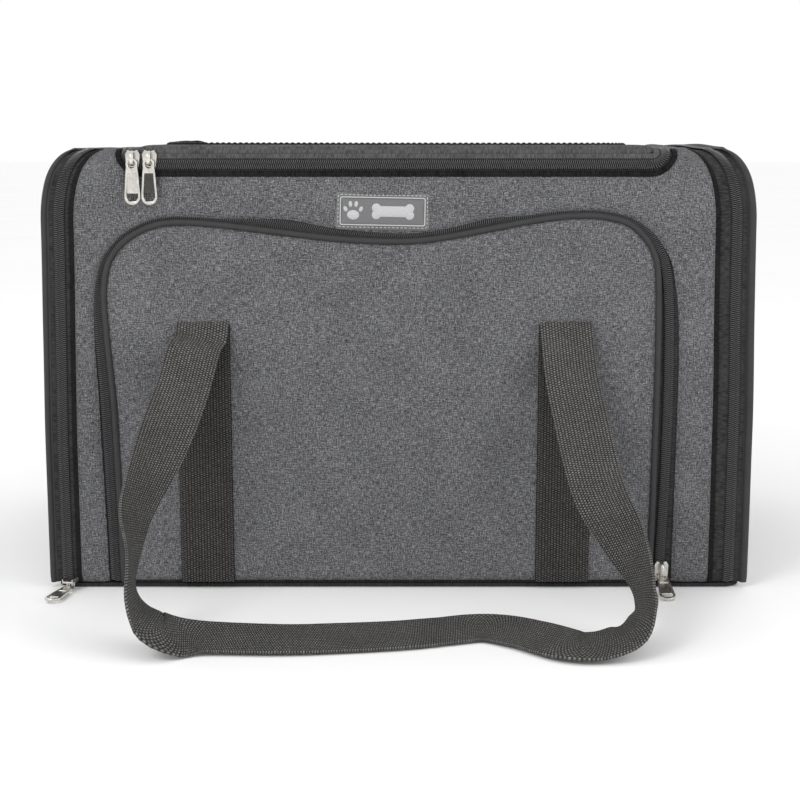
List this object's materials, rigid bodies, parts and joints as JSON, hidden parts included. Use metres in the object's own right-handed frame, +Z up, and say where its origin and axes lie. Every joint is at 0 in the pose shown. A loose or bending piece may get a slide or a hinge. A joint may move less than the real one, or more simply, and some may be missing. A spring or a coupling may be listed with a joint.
{
  "type": "pet carrier bag",
  "caption": "Soft-sided grey fabric pet carrier with a zipped mesh top door, a drop-down front cover over a mesh window, fold-down mesh ends and two webbing handles.",
  "frame": {"origin": "middle of the underside of the base panel, on the surface the bag stands on", "axes": "+Z up, -Y out of the front face with the zipped cover, +X to the right as seen from the front"},
  "size_m": [0.4568, 0.586, 0.2845],
  "materials": {
    "grey_fabric": "heather grey woven polyester, padded",
    "black_fabric": "black woven polyester",
    "piping": "bias-cut black fabric over cord",
    "zip_coil": "black nylon coil on woven tape",
    "webbing": "dark grey ribbed polypropylene webbing",
    "mesh": "black knitted mesh",
    "nickel": "nickel-plated die casting",
    "base_board": "stiff black insert board",
    "fleece": "light grey fleece",
    "rubber_label": "moulded soft rubber",
    "spring_wire": "drawn spring steel"
  },
  "bodies": {
    "carrier": {"base_panel": "black_fabric", "base_board": "base_board", "fleece_mat": "fleece", "front_wall": "grey_fabric", "front_mesh": "mesh", "rear_wall": "grey_fabric", "top_band_left": "grey_fabric", "top_band_right": "grey_fabric", "left_hoop": "spring_wire", "right_hoop": "spring_wire", "left_end_zip_inner": "zip_coil", "right_end_zip_inner": "zip_coil", "top_zip_lower": "zip_coil", "cover_zip_outer": "zip_coil", "label_patch": "rubber_label", "rear_strip_left": "webbing", "rear_strip_right": "webbing", "top_left_slider": "nickel", "left_corner_slider": "nickel"},
    "top_door": {"top_door_panel": "grey_fabric", "top_door_mesh": "mesh", "top_zip_upper": "zip_coil"},
    "front_cover": {"cover_panel": "grey_fabric", "cover_piping": "piping", "cover_zip_inner": "zip_coil", "front_strip_left": "webbing", "front_strip_right": "webbing"},
    "left_end": {"left_end_panel": "grey_fabric", "left_end_mesh": "mesh", "left_end_piping": "piping", "left_end_zip_outer": "zip_coil"},
    "right_end": {"right_end_panel": "grey_fabric", "right_end_mesh": "mesh", "right_end_piping": "piping", "right_end_zip_outer": "zip_coil"},
    "front_handle_loop": {"front_handle": "webbing"},
    "rear_handle_loop": {"rear_handle": "webbing"},
    "top_right_slider_body": {"top_right_slider": "nickel"},
    "top_right_pull_body": {"top_right_pull": "nickel"},
    "top_left_pull_body": {"top_left_pull": "nickel"},
    "cover_slider_body": {"cover_slider": "nickel"},
    "cover_pull_body": {"cover_pull": "nickel"},
    "left_corner_pull_body": {"left_corner_pull": "nickel"},
    "left_rear_slider_body": {"left_rear_slider": "nickel"},
    "left_rear_pull_body": {"left_rear_pull": "nickel"},
    "right_rear_slider_body": {"right_rear_slider": "nickel"},
    "right_rear_pull_body": {"right_rear_pull": "nickel"}
  },
  "joints": [
    {"name": "top_door_lift", "type": "hinge", "parent": "carrier", "child": "top_door", "pos_m": [0, 0.1395, 0.282], "axis": [-1, 0, 0], "range_deg": [0, 110]},
    {"name": "front_cover_drop", "type": "hinge", "parent": "carrier", "child": "front_cover", "pos_m": [0, -0.14, 0.004], "axis": [1, 0, 0], "range_deg": [0, 80]},
    {"name": "left_end_drop", "type": "hinge", "parent": "carrier", "child": "left_end", "pos_m": [-0.2286, 0, 0.0035], "axis": [0, -1, 0], "range_deg": [0, 90]},
    {"name": "right_end_drop", "type": "hinge", "parent": "carrier", "child": "right_end", "pos_m": [0.2286, 0, 0.0035], "axis": [0, 1, 0], "range_deg": [0, 90]},
    {"name": "front_handle_lift", "type": "hinge", "parent": "front_cover", "child": "front_handle_loop", "pos_m": [0, -0.1455, 0.174], "axis": [-1, 0, 0], "range_deg": [0, 125]},
    {"name": "rear_handle_lift", "type": "hinge", "parent": "carrier", "child": "rear_handle_loop", "pos_m": [0, 0.1455, 0.174], "axis": [1, 0, 0], "range_deg": [0, 125]},
    {"name": "top_right_slider_run", "type": "slide", "parent": "carrier", "child": "top_right_slider_body", "axis": [1, 0, 0], "range_m": [0, 0.312]},
    {"name": "cover_slider_run", "type": "slide", "parent": "carrier", "child": "cover_slider_body", "axis": [0, 0, 1], "range_m": [0, 0.19]},
    {"name": "left_rear_slider_run", "type": "slide", "parent": "carrier", "child": "left_rear_slider_body", "axis": [0, 0, 1], "range_m": [0, 0.22]},
    {"name": "right_rear_slider_run", "type": "slide", "parent": "carrier", "child": "right_rear_slider_body", "axis": [0, 0, 1], "range_m": [0, 0.22]},
    {"name": "top_right_pull_swing", "type": "hinge", "parent": "top_right_slider_body", "child": "top_right_pull_body", "pos_m": [-0.1562, -0.1445, 0.2765], "axis": [-1, 0, 0], "range_deg": [0, 150]},
    {"name": "top_left_pull_swing", "type": "hinge", "parent": "carrier", "child": "top_left_pull_body", "pos_m": [-0.1668, -0.1445, 0.2765], "axis": [-1, 0, 0], "range_deg": [0, 150]},
    {"name": "cover_pull_swing", "type": "hinge", "parent": "cover_slider_body", "child": "cover_pull_body", "pos_m": [0.1715, -0.1445, 0.0085], "axis": [-1, 0, 0], "range_deg": [-72, 76]},
    {"name": "left_corner_pull_swing", "type": "hinge", "parent": "carrier", "child": "left_corner_pull_body", "pos_m": [-0.215, -0.15, 0.0024], "axis": [-0.977, 0.213, 0], "range_deg": [0, 60]},
    {"name": "left_rear_pull_swing", "type": "hinge", "parent": "left_rear_slider_body", "child": "left_rear_pull_body", "pos_m": [-0.217, 0.1445, 0.0085], "axis": [1, 0, 0], "range_deg": [-72, 76]},
    {"name": "right_rear_pull_swing", "type": "hinge", "parent": "right_rear_slider_body", "child": "right_rear_pull_body", "pos_m": [0.217, 0.1445, 0.0085], "axis": [1, 0, 0], "range_deg": [-72, 76]}
  ]
}
